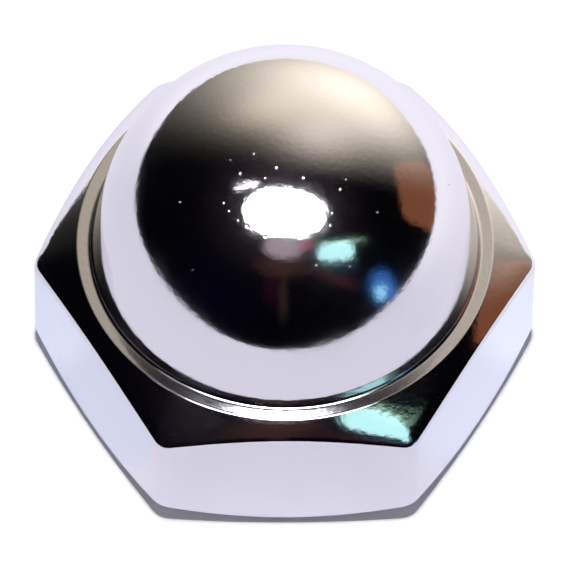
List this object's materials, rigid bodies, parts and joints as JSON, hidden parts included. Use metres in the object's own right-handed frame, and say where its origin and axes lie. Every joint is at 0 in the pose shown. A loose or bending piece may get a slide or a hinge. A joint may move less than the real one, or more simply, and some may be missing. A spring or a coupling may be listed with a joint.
{
  "type": "cap nut",
  "caption": "Low-crown cap nut: a chamfered hexagon with a domed, closed end over a blind threaded hole, chrome plated.",
  "frame": {"origin": "centre of the flat bearing face under the hexagon", "axes": "+Z along the thread's axis, up through the dome; -Y out through the middle of one flat; +X out through one corner of the hexagon"},
  "size_m": [0.016, 0.0142, 0.012],
  "materials": {
    "chrome_plate": "mirror"
  },
  "bodies": {
    "root": {"cap_nut": "chrome_plate"}
  },
  "joints": []
}
